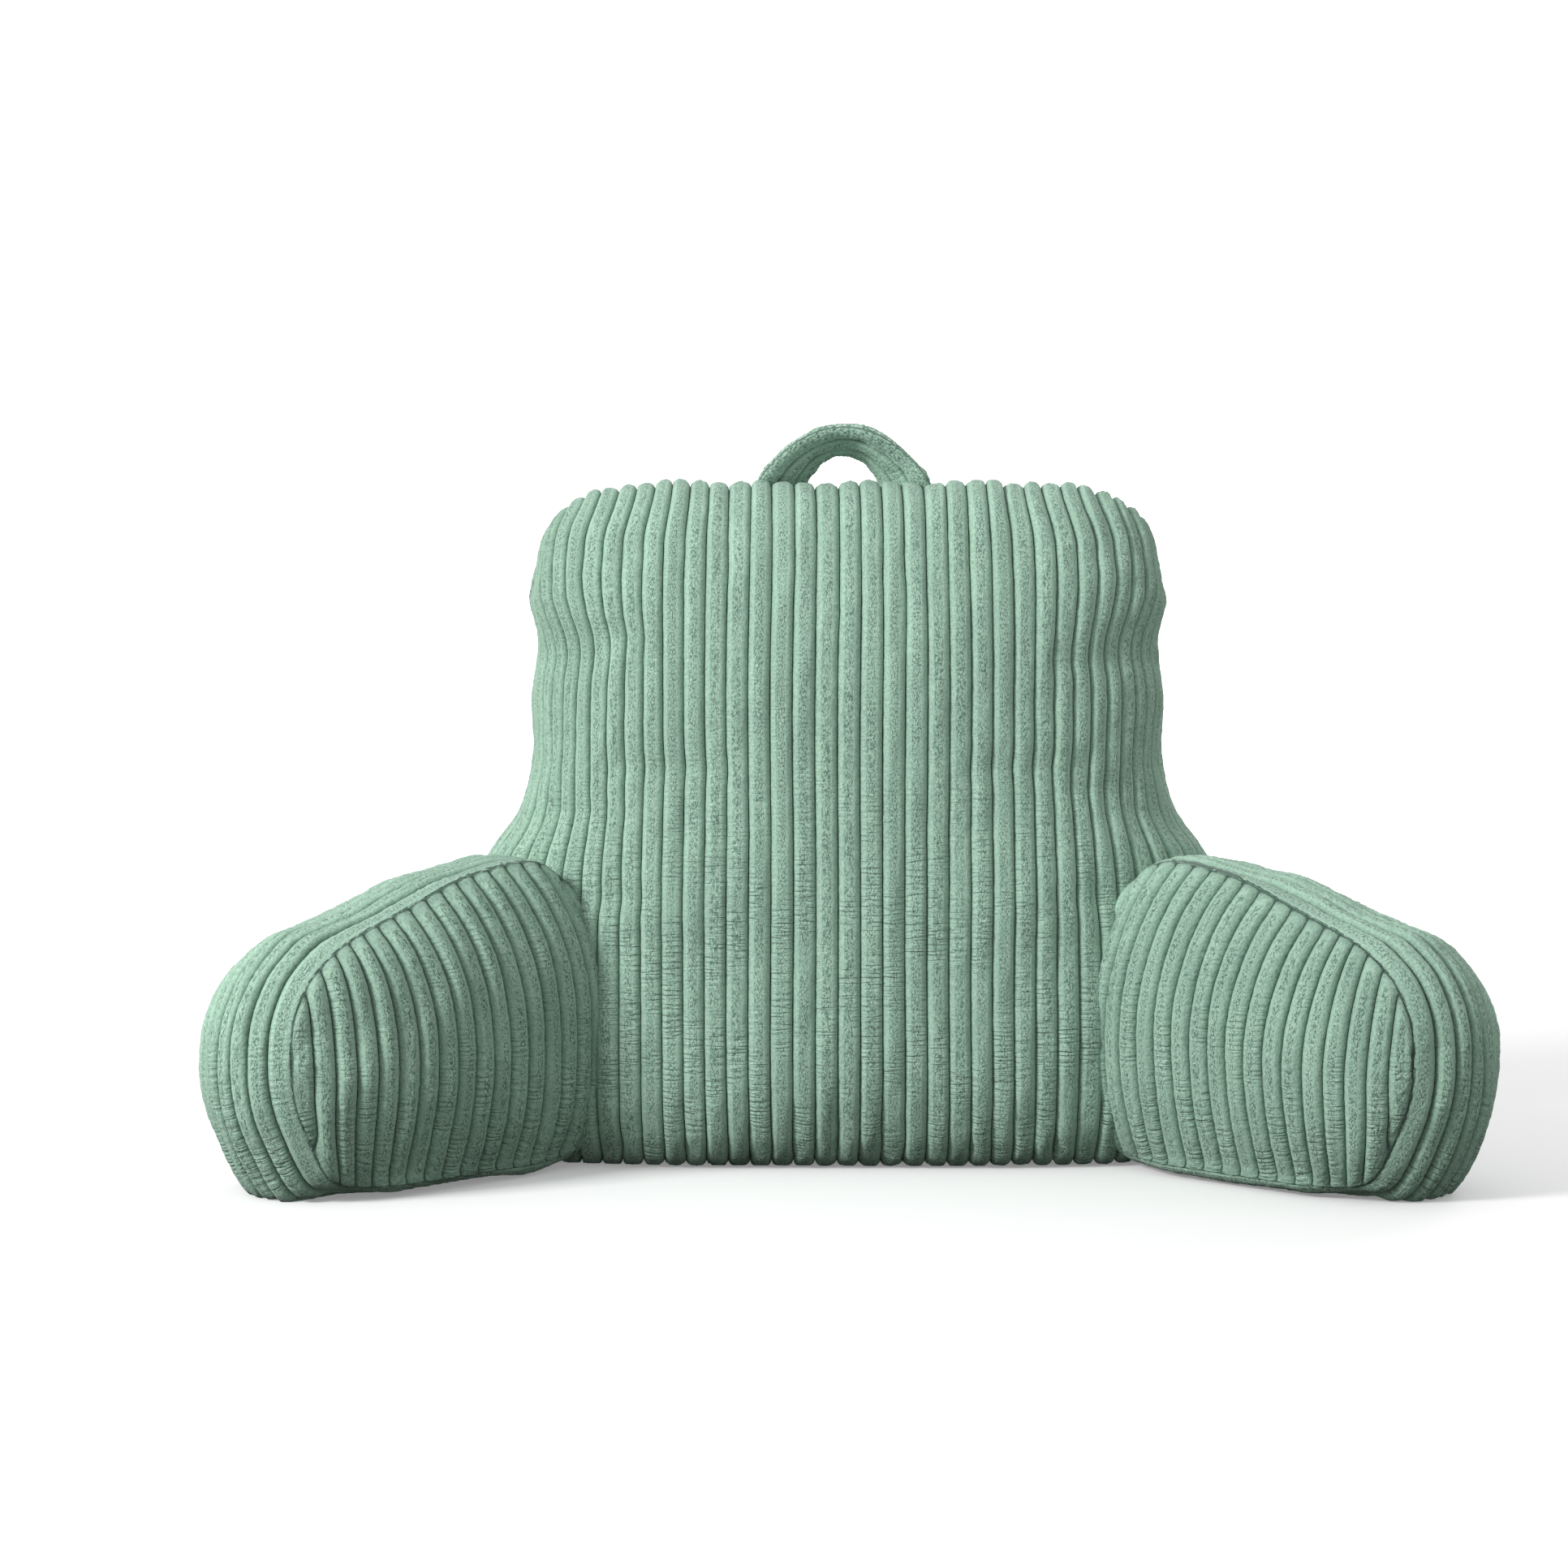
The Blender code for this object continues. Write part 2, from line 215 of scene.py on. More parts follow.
# The carry handle
HANDLE_RIBS = 3
HANDLE_STEPS = 110
HANDLE_EDGES = (
    # half span, top, spring height, depth, bend
    (0.0585, 0.4935, 0.454, 0.070, 1.7),
    (0.0278, 0.4752, 0.442, 0.103, 1.1),
)
HANDLE_THICKNESS = 0.0095
HANDLE_SQUARENESS = 5
HANDLE_VALLEY_SHARE = 0.36
HANDLE_ROOT = 0.012
HANDLE_TAIL = 0.05  # past each end of the arch, as a share of it
HANDLE_MIDDLE_X = -0.003
HANDLE_SEED = 61
HANDLE_LUMP = 0.0005
HANDLE_LUMP_LENGTH = 0.02
HANDLE_CRINKLE = 0.4
STRAP_WIDTH = 0.045
STRAP_LENGTH = 0.15
STRAP_APART = 3.0

# How uneven the sewing and the filling are
WANDER = 0.0006
WANDER_LENGTH = 0.200
LUMP = 0.0011
LUMP_LENGTH = 0.130
RIB_SWELL = 0.10
RIB_SWELL_LENGTH = 0.060
RIB_SWELL_ACROSS = 3
FINGER_END = 0.0080
TIP_END = 0.0035
SEAM_DEPTH = 0.0012

# The cloth over the filling, on a coarse grid
FILL_COLUMNS = 66
FILL_RISE_ROWS = 34
FILL_BASE_ROWS = 8
FILL_FRAMES = 20
FILL_SMOOTHINGS = 24
FILL_LONGEST_MOVE = 0.007
FILL_WRINKLES = 0.5
FILL_SEAM_WIDTH = 0.04
FILL_CREST_WIDTH = (0.01, 0.08)
FILL_CLOTH = {
    "quality": 6,
    "mass": 0.25,
    "tension_stiffness": 12,
    "compression_stiffness": 6,
    "shear_stiffness": 4,
    "bending_stiffness": 0.15,
    "use_pressure": True,
    "uniform_pressure_force": 4.0,
    "shrink_min": -0.035,
}

# The studio
SWEEP_STARTS_AT = 1.5
SWEEP_RADIUS = 2.0
SWEEP_HALF_WIDTH = 12.0
SWEEP_FLOOR_LENGTH = 8.0
SWEEP_FLOOR_STEPS = 20
SWEEP_TURN_STEPS = 30
SWEEP_WALL_STEPS = 10
SWEEP_WALL_STEP = 0.8
WALL_PAINT_FROM = 1.0
PAPER_GLOW = 0.23
WALL_GLOW = 0.80
PAPER_COLOUR = (0.80, 0.80, 0.80, 1.0)
CARD_COLOUR = (0.09, 0.11, 0.10, 1.0)
CARD_HALF_WIDTH = 0.75
CARD_FRONT = -0.75
CARD_REAR = 0.60
CARD_BELOW = 0.003
CAMERA_PLACE = (-0.0428, FRONT_Y - 2.57, 0.478)
CAMERA_DOWN = math.radians(4.86)
CAMERA_LENS = 90.35  # millimetres, as is the sensor's width
SENSOR_WIDTH = 36.0
ROOM_LIGHT = 0.62
LIGHTS_AIM = (0.0, 0.0, 0.2)
LIGHTS = (
    # name, place, size, power
    ("key", (-2.5, -1.7, 1.7), 0.9, 104),
    ("back", (1.8, 2.4, 1.6), 1.6, 30),
)


def ease(value, start, end):
    """0 before start, 1 after end and a smooth rise between them."""
    share = np.clip((value - start) / (end - start), 0.0, 1.0)
    return share * share * (3 - 2 * share)


def curve_through(rows, place, closed=False):
    """The smooth curve through the rows, read at each place, where whole numbers are the rows."""
    rows = np.asarray(rows, float)
    count = len(rows)
    start = np.floor(place).astype(int)
    if not closed:
        start = np.minimum(start, count - 2)
    part = (place - start)[:, None]
    steps = [start + step for step in (-1, 0, 1, 2)]
    a, b, c, d = (rows[step % count if closed else np.clip(step, 0, count - 1)] for step in steps)
    return 0.5 * (
        2 * b
        + (c - a) * part
        + (2 * a - 5 * b + 4 * c - d) * part**2
        + (3 * b - a - 3 * c + d) * part**3
    )


def arc_of(places, heights):
    """The length of the line through the points, and the share of it that ends at each point."""
    steps = np.hypot(np.diff(places), np.diff(heights))
    length = np.concatenate(([0.0], np.cumsum(steps)))
    return length[-1], length / length[-1]


def uneven(seed, length, waves=14):
    """A smooth random surface over two places, about -1 to 1, with bumps about a length apart."""
    chance = np.random.default_rng(seed)
    turns = chance.uniform(0, 2 * math.pi, waves)
    phases = chance.uniform(0, 2 * math.pi, waves)
    lengths = length * chance.uniform(0.7, 1.8, waves)

    def height(x, y):
        total = 0.0
        for turn, phase, step in zip(turns, phases, lengths):
            way = x * math.cos(turn) + y * math.sin(turn)
            total = total + np.sin(2 * math.pi * way / step + phase)
        return total / math.sqrt(waves)

    return height


def rib_columns(ribs, squareness=RIB_SQUARENESS):
    """The share across the cloth of each column of points, its rib, and the rib's height there."""
    column = np.arange(ribs * RIB_STEPS + 1)
    across_rib = -np.cos(math.pi * (column % RIB_STEPS) / RIB_STEPS)
    rib = column // RIB_STEPS
    share = (rib + (1 + across_rib) / 2) / ribs
    height = np.sqrt(np.maximum(0.0, 1 - np.abs(across_rib) ** squareness))
    return share, np.minimum(rib, ribs - 1), height


def crinkles(height, least, full_below, least_above):
    """How much the cloth is creased: fully low down, where it is pushed together, and least above."""
    return least + (1 - least) * (1 - ease(height, full_below, least_above))


def swollen(ribs, seed, across, along):
    """The ribs' heights, a little fuller in some places than in others."""
    return ribs * (1 + RIB_SWELL * uneven(seed, RIB_SWELL_LENGTH)(across * RIB_SWELL_ACROSS, along))


def on_cloth(across, along, rib, apart=0.0):
    """The place on the cloth that the patterns of the pile read, with each rib apart from the next."""
    return np.column_stack([across, along, rib * PATTERN_APART + apart])


def put_in_scene(name, data):
    """An object in the scene, made of a mesh, a light or a camera."""
    thing = bpy.data.objects.new(name, data)
    bpy.context.scene.collection.objects.link(thing)
    return thing


def write_values(mesh, name, values):
    """Writes a number or a place for each point of the mesh."""
    kind = "FLOAT_VECTOR" if values.ndim == 2 else "FLOAT"
    layer = mesh.attributes.new(name, kind, "POINT")
    layer.data.foreach_set("vector" if values.ndim == 2 else "value", values.astype(np.float32).ravel())


def read_values(mesh, name):
    """The number that each point of the mesh carries under the name."""
    values = np.empty(len(mesh.vertices), np.float32)
    mesh.attributes[name].data.foreach_get("value", values)
    return values


def read_points(mesh):
    points = np.empty(len(mesh.vertices) * 3, np.float32)
    mesh.vertices.foreach_get("co", points)
    return points.reshape(-1, 3).astype(float)


def write_points(mesh, points):
    mesh.vertices.foreach_set("co", np.asarray(points, np.float32).ravel())
    mesh.update()


def flat_cloth(name, columns, rows):
    """A flat grid of cloth, and the column and the row of each of its points."""
    cloth = bmesh.new()
    bmesh.ops.create_grid(cloth, x_segments=columns, y_segments=rows, size=1.0)
    mesh = bpy.data.meshes.new(name)
    cloth.to_mesh(mesh)
    cloth.free()
    flat = read_points(mesh)
    column = np.rint((flat[:, 0] + 1) / 2 * columns).astype(int)
    row = np.rint((flat[:, 1] + 1) / 2 * rows).astype(int)
    return mesh, column, row


def sew(mesh, rim=None):
    """Joins the edges that meet, closes what is open and turns the faces outwards.

    Where there is a rim, the open edges are first drawn in to it.
    """
    cloth = bmesh.new()
    cloth.from_mesh(mesh)
    bmesh.ops.remove_doubles(cloth, verts=cloth.verts, dist=MERGE)
    if rim is not None:
        edges = [edge for edge in cloth.edges if edge.is_boundary]
        made = bmesh.ops.extrude_edge_only(cloth, edges=edges)["geom"]
        for point in made:
            if isinstance(point, bmesh.types.BMVert):
                point.co = rim(point.co)
    bmesh.ops.holes_fill(cloth, edges=cloth.edges, sides=0)
    bmesh.ops.recalc_face_normals(cloth, faces=cloth.faces)
    cloth.to_mesh(mesh)
    cloth.free()


def smoothed(moves):
    """The moves evened out along and across the grid, whose last row of points lies on its first."""
    for _ in range(FILL_SMOOTHINGS):
        moves[:, 0] = moves[:, -1]
        ahead = np.concatenate([moves[:, 1:], moves[:, 1:2]], axis=1)
        behind = np.concatenate([moves[:, -2:-1], moves[:, :-1]], axis=1)
        moves = (ahead + behind + 2 * moves) / 4
        left = np.concatenate([moves[:1], moves[:-1]])
        right = np.concatenate([moves[1:], moves[-1:]])
        moves = (left + right + 2 * moves) / 4
    return moves


def fill_moves(surface, columns, rows, held):
    """How cloth pulled over the filling moves from the plain surface, on a grid whose rows go all round.

    The cloth is blown up a little while its seams are held. The wrinkles are kept, and the even swelling
    is taken off again, so that the piece keeps its size.
    """
    mesh, column, row = flat_cloth("filling", columns, rows)
    start = surface(column / columns, row / rows)
    write_points(mesh, start)
    sew(mesh)
    filling = put_in_scene("filling", mesh)
    joined = read_points(mesh)
    finder = kdtree.KDTree(len(joined))
    for index, point in enumerate(joined):
        finder.insert(point, index)
    finder.balance()
    match = np.array([finder.find(point)[1] for point in start])
    pins = filling.vertex_groups.new(name="seams")
    hold = held(column / columns, row / rows)
    for index, weight in zip(match, hold):
        if weight > 0:
            pins.add([int(index)], float(weight), "REPLACE")
    cloth = filling.modifiers.new("cloth", "CLOTH")
    for setting, value in FILL_CLOTH.items():
        setattr(cloth.settings, setting, value)
    cloth.settings.vertex_group_mass = "seams"
    cloth.settings.effector_weights.gravity = 0
    cloth.collision_settings.use_collision = False
    cloth.point_cache.frame_start = 1
    cloth.point_cache.frame_end = FILL_FRAMES
    for step in range(1, FILL_FRAMES + 1):
        bpy.context.scene.frame_set(step)
    settled = filling.evaluated_get(bpy.context.evaluated_depsgraph_get())
    ended = read_points(settled.data)
    bpy.data.objects.remove(filling, do_unlink=True)
    bpy.context.scene.frame_set(1)
    moves = np.zeros((columns + 1, rows + 1, 3))
    moves[column, row] = ended[match] - start
    grid_places = (np.arange(columns + 1) / columns, np.arange(rows + 1) / rows)
    free = 1 - held(*np.meshgrid(*grid_places, indexing="ij"))
    wrinkles = (moves - smoothed(moves.copy())) * FILL_WRINKLES * free[:, :, None]
    lengths = np.linalg.norm(wrinkles, axis=2, keepdims=True)
    return wrinkles * np.minimum(1.0, FILL_LONGEST_MOVE / np.maximum(lengths, MERGE))


def read_moves(moves, across, round_share):
    """The coarse grid's moves, read between its points."""
    columns, rows = moves.shape[0] - 1, moves.shape[1] - 1
    x, y = across * columns, round_share * rows
    left = np.clip(np.floor(x).astype(int), 0, columns - 1)
    low = np.clip(np.floor(y).astype(int), 0, rows - 1)
    part_x, part_y = (x - left)[:, None], (y - low)[:, None]
    return (
        moves[left, low] * (1 - part_x) * (1 - part_y)
        + moves[left + 1, low] * part_x * (1 - part_y)
        + moves[left, low + 1] * (1 - part_x) * part_y
        + moves[left + 1, low + 1] * part_x * part_y
    )


def make_cushion(name, mesh, points, push, values, rim=None):
    """Sews the piece up, and pushes its points in or out along its own smooth face, a little unevenly."""
    write_points(mesh, points)
    write_values(mesh, "push", push)
    for value_name, value in values.items():
        write_values(mesh, value_name, value)
    sew(mesh, rim)
    outward = np.empty(len(mesh.vertices) * 3, np.float32)
    mesh.vertex_normals.foreach_get("vector", outward)
    fuzz = PILE_JITTER * np.random.default_rng(len(outward)).standard_normal(len(mesh.vertices))
    out = read_values(mesh, "push") + fuzz
    moved = read_points(mesh) + outward.reshape(-1, 3) * out[:, None]
    moved[:, 2] = np.maximum(0.0, moved[:, 2])
    write_points(mesh, moved)
    mesh.attributes.remove(mesh.attributes["push"])
    mesh.shade_smooth()
    return put_in_scene(name, mesh)


def dress(piece, node, material):
    """Puts the piece in its node's place."""
    piece.data.materials.append(material)
    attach(piece, "root")
    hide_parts(node)


# The back cushion


def back_section():
    """The number of ribs, half the arc across them, and the places across at shares of that half."""
    across = 1 - (1 - np.linspace(0, 1, SECTION_POINTS)) ** 2
    fullness = np.maximum(0.0, 1 - across**SIDE_TURN) ** (1 / SIDE_ROUND)
    half_arc, shares = arc_of(across * BACK_HALF_WIDTH, fullness * SIDE_RIBS_TURN)
    ribs_each_side = round(half_arc / RIB_PITCH - 0.5)
    return 2 * ribs_each_side + 1, half_arc, shares, across


BACK_SECTION = back_section()


def back_loop():
    """One rib's way round: up the front, over the crest, down the rear and back under the cushion."""
    front = [(z, (f + r) / 2, (f - r) / 2, w) for z, f, r, w in BACK_LEVELS]
    crest = [(CREST[0], CREST[1], 0.0, CREST[2])]
    rear = [(z, middle, -half, w) for z, middle, half, w in reversed(front)]
    return front + crest + rear


def back_rounds(rise_rows, base_rows):
    """The places round the loop of each row: evenly up the front, the same down the rear, and below."""
    loop = back_loop()
    top = len(BACK_LEVELS)
    fine = np.linspace(0, top, SECTION_POINTS)
    way = curve_through(loop, fine, closed=True)
    length, shares = arc_of(way[:, 1] + way[:, 2], way[:, 0])
    rise = np.interp(np.linspace(0, 1, rise_rows + 1), shares, fine)
    base = len(loop) - 1 + np.linspace(0, 1, base_rows + 1)
    return np.concatenate([rise, (2 * top - rise[::-1])[1:], base[1:]]), length


def back_surface(share_across, place_round):
    """The face over the back's ribs, for a share from 0 to 1 across and a place round the loop."""
    ribs, _, shares, section = BACK_SECTION
    signed = 2 * share_across - 1
    side = np.sign(signed)
    across = np.interp(np.abs(signed), shares, section)
    height, middle, half, half_width = curve_through(back_loop(), place_round, closed=True).T
    narrow = ease(height, SIDE_TURN_STARTS_AT, SIDE_TURN_FULL_AT)
    side_turn = SIDE_TURN_AT_BASE + (SIDE_TURN - SIDE_TURN_AT_BASE) * narrow
    full = np.maximum(0.0, 1 - across**side_turn) ** (1 / SIDE_ROUND)
    spread = 1 + (half_width / BACK_HALF_WIDTH - 1) * across**FLARE_GATHER
    rib = signed * ribs / 2
    rough = UNEVEN_CREST * sum(share * np.sin(turn * rib + start) for turn, share, start in CREST_WAVES)
    top_share = ease(height, CORNER_STARTS_AT, CREST[0])
    height = height - top_share * (CORNER_DROP * across**CORNER_DROP_POWER - rough * full)
    lean_in = CREST_GATHER * ease(height, CREST_GATHER_STARTS_AT, CREST[0])
    lean_in = lean_in * ease(across, *CREST_GATHER_WHERE)
    shoulder = across**SHOULDER_POWER * (1 - across**SHOULDER_END_POWER)
    across = across + SHOULDER_SPREAD * ease(height, *SHOULDER_WHERE) * shoulder
    x = side * (BACK_HALF_WIDTH * across * spread - lean_in)
    return np.column_stack([x, FRONT_Y + middle + half * full, height])


def back_wrinkles():
    """The small moves of the back's cloth over its filling."""
    rounds, _ = back_rounds(FILL_RISE_ROWS, FILL_BASE_ROWS)
    rows = len(rounds) - 1

    def cover(share, round_share):
        return back_surface(share, np.interp(round_share * rows, np.arange(rows + 1), rounds))

    def held(share, round_share):
        """The side seams, the crest and the foot of the cushion don't move."""
        seam = 1 - ease(np.minimum(share, 1 - share), 0.0, FILL_SEAM_WIDTH)
        foot = (round_share > 2 * FILL_RISE_ROWS / rows).astype(float)
        crest = 1 - ease(np.abs(round_share - FILL_RISE_ROWS / rows), *FILL_CREST_WIDTH)
        return np.maximum(np.maximum(seam, foot), crest)

    return fill_moves(cover, FILL_COLUMNS, rows, held)


def make_back(moves):
    """The back cushion's cover, whose ribs run up the front, over the crest and down the rear."""
    ribs, half_arc, arc_shares, section = BACK_SECTION
    rounds, rise = back_rounds(BACK_RISE_ROWS, BACK_BASE_ROWS)
    shares, rib_of, heights = rib_columns(ribs)
    columns, rows = ribs * RIB_STEPS, len(rounds) - 1
    mesh, column, row = flat_cloth("back_cushion_cover", columns, rows)
    row = row % rows
    across = (shares[column] * 2 - 1) * half_arc
    along = np.interp(rounds[row], rounds, np.arange(rows + 1)) * rise / BACK_RISE_ROWS
    inside = np.minimum(1.0, (1 - np.abs(2 * shares[column] - 1)) * ribs / 2)
    wander = WANDER * uneven(BACK_SEED, WANDER_LENGTH)(across, along) * inside
    share = np.clip(shares[column] + wander / (2 * half_arc), 0.0, 1.0)
    points = back_surface(share, rounds[row])
    if moves is not None:
        points = points + read_moves(moves, share, row / rows)
    rib = swollen(heights[column], BACK_SEED + 2, across, along)
    place = np.interp(np.abs(2 * share - 1), arc_shares, section)
    full = np.maximum(0.0, 1 - place**SIDE_TURN) ** (1 / SIDE_ROUND)
    depth = RIB_DEPTH * np.minimum(1.0, full / THIN_RIBS_BELOW)
    push = depth * (rib - 1) + LUMP * uneven(BACK_SEED + 4, LUMP_LENGTH)(across, along) * inside
    values = {
        "rib_height": heights[column],
        "cloth": on_cloth(across, along, rib_of[column]),
        "crinkle": crinkles(points[:, 2], *BACK_CRINKLES),
    }
    return make_cushion("back_cushion_cover", mesh, points, push, values)


# The arms


def arm_place(side, along, through, height):
    """Points from their places along the arm, through its width from the inner seam, and heights."""
    share = np.clip(through / ARM_WIDTH, 0.0, 1.0)
    along = along + ROOT_SLANT * share * (1 - ease(along, ARM_ROOT, ROOT_SLANT_ENDS_AT))
    x = ARM_ROOT_X + math.sin(ARM_SPLAY) * along + math.cos(ARM_SPLAY) * through
    y = FRONT_Y - math.cos(ARM_SPLAY) * along + math.sin(ARM_SPLAY) * through
    return np.column_stack([side * x, y, height * (1 - OUTER_DROP * share)])


def straight_across(side):
    """The direction straight across the arm, from its inner cheek to its outer one."""
    return Vector((side * math.cos(ARM_SPLAY), math.sin(ARM_SPLAY), 0.0))


def through_arm(side, point):
    """How far a point is across the arm, from the plane of its inner seam."""
    return (point - Vector((side * ARM_ROOT_X, FRONT_Y, 0.0))).dot(straight_across(side))


def on_cheek(side, through):
    """Moves a point straight across the arm, to a plane that far from the inner seam."""
    return lambda point: point + straight_across(side) * (through - through_arm(side, point))


def arm_outline(stations):
    """Evenly spaced points of the D, from the root along the floor, round the tip and back on top."""
    whole = list(ARM_LOWER_EDGE) + list(reversed(ARM_UPPER_EDGE[:-1]))
    fine = curve_through(whole, np.linspace(0, len(whole) - 1, OUTLINE_POINTS))
    length, shares = arc_of(fine[:, 0], fine[:, 1])
    even = np.linspace(0, 1, stations)
    outline = np.column_stack([np.interp(even, shares, fine[:, axis]) for axis in (0, 1)])
    ahead = np.gradient(outline, axis=0)
    ahead /= np.linalg.norm(ahead, axis=1)[:, None]
    return outline, np.column_stack([ahead[:, 1], -ahead[:, 0]]), length


def make_boxing(name, side, seed):
    """The arm's filled body, with the ribs of its boxing strip running round the D."""
    outline, outward, length = arm_outline(BOXING_STATIONS)
    line = np.linspace(-1, 1, BOXING_LINE_POINTS)
    strip, _ = arc_of(line * ARM_WIDTH / 2, BOXING_CROWN * (1 - line**2))
    ribs = round(strip / RIB_PITCH)
    shares, rib_of, heights = rib_columns(ribs, ARM_RIB_SQUARENESS)
    columns, rows = ribs * RIB_STEPS, BOXING_STATIONS
    mesh, column, row = flat_cloth(name, columns, rows)
    row = row % rows
    along = row / (rows - 1) * length
    across = shares[column] * strip
    inside = np.minimum(1.0, 2 * np.minimum(shares[column], 1 - shares[column]) * ribs)
    share = shares[column] + WANDER / strip * uneven(seed, WANDER_LENGTH)(across, along) * inside
    fill = ease(outward[row, 0], *BOXING_FULL_WHERE)
    crown = BOXING_TOP_CROWN + (BOXING_CROWN - BOXING_TOP_CROWN) * fill
    push_out = (crown * (1 - (2 * share - 1) ** 2))[:, None] * outward[row]
    beside = np.minimum(share, 1 - share) * ribs
    roll = floor_roll(outline[row, 0], outline[row, 1])
    belly = ROLL_BELLY * np.sin(math.pi * np.clip(beside / ROLL_BELLY_WIDTH, 0.0, 1.0))
    through = share * ARM_WIDTH - roll * (1 - ease(beside, *ROLL_EASE) + belly) * np.sign(0.5 - share)
    sink = (roll / FLOOR_ROLL) * ease(beside, *ROLL_SINK)
    rise = (outline[row, 1] + push_out[:, 1]) * (1 - sink)
    points = arm_place(side, outline[row, 0] + push_out[:, 0], through, rise)
    points[:, 2] = np.maximum(0.0, points[:, 2])
    rib = swollen(heights[column], seed + 1, across, along)
    # The half of a rib that meets a seam stays shallow, so that no groove opens there
    at_seam = np.minimum(shares[column], 1 - shares[column]) * ribs < 0.5
    depth = np.where(at_seam, SEAM_DEPTH, ARM_RIB_DEPTH)
    shown = np.where(at_seam, np.sqrt(heights[column]), heights[column])
    push = depth * (rib - 1) + LUMP * uneven(seed + 2, LUMP_LENGTH)(across, along) * inside
    values = {
        "rib_height": shown,
        "cloth": on_cloth(across, along, rib_of[column], side),
        "crinkle": crinkles(points[:, 2], *BOXING_CRINKLES),
    }
    inner, outer = on_cheek(side, PANEL_RIM), on_cheek(side, ARM_WIDTH - PANEL_RIM)

    def to_cheeks(point):
        return outer(point) if through_arm(side, point) > ARM_WIDTH / 2 else inner(point)

    return make_cushion(name, mesh, points, push, values, to_cheeks)


def panel_dome(along, share_up):
    """The height of a panel's crown, from 0 on its seam to 1 at its fullest."""
    across = 2 * (along - ARM_ROOT) / (ARM_TIP - ARM_ROOT) - 1
    fullness = 1 - np.abs(across) ** np.where(across < 0, PANEL_ROOT_FULLNESS, 2)
    up = 2 * share_up - 1
    return np.maximum(0.0, fullness * (1 - up**2)) ** PANEL_ROUND


def floor_roll(along, height):
    """How far the lowest seam rolls out over the floor."""
    where = ease(along, *FLOOR_ROLL_STARTS) * (1 - ease(along, *FLOOR_ROLL_ENDS))
    return FLOOR_ROLL * where * (1 - ease(height, *FLOOR_ROLL_BELOW))


def panel_bow(height, place):
    """How far the ribs of a panel lean towards the tip at a height, and back from it near the floor."""
    near_tip = ease(place, *PANEL_TIP_WHERE)
    bow = PANEL_BOW * np.maximum(0.0, height - PANEL_BOW_STARTS_AT) ** PANEL_BOW_POWER
    foot = PANEL_FOOT_LEAN * np.maximum(0.0, 1 - height / PANEL_FOOT_TOP) ** 2
    return bow * (1 - PANEL_TIP_EASE * near_tip) - foot * near_tip


def panel_ends(place, lower, upper):
    """The heights at which each rib of a panel meets the seam, for the ribs' places along the arm."""
    waist = np.full_like(place, PANEL_BOW_STARTS_AT)
    ends = []
    for edge, far, sign in ((lower, 0.0, -1), (upper, PANEL_OVER_TOP, 1)):
        start, stop = waist, np.full_like(place, far)
        for _ in range(HALVINGS):
            middle = (start + stop) / 2
            reach = np.interp(place + panel_bow(middle, place), *edge, right=PANEL_BOW_STARTS_AT)
            fits = sign * middle <= sign * reach
            start, stop = np.where(fits, middle, start), np.where(fits, stop, middle)
        ends.append(start)
    return ends


def way_to_tip(along, height):
    """How far a point of a panel is from the seam at the arm's tip."""
    outline, _, _ = arm_outline(CROWN_POINTS)
    bottom = np.argmax(outline[:, 0] > TIP_STARTS_AT)
    top = np.argmax(outline[:, 1])
    rising = outline[bottom:top]
    return np.interp(height, np.maximum.accumulate(rising[:, 1]), rising[:, 0]) - along


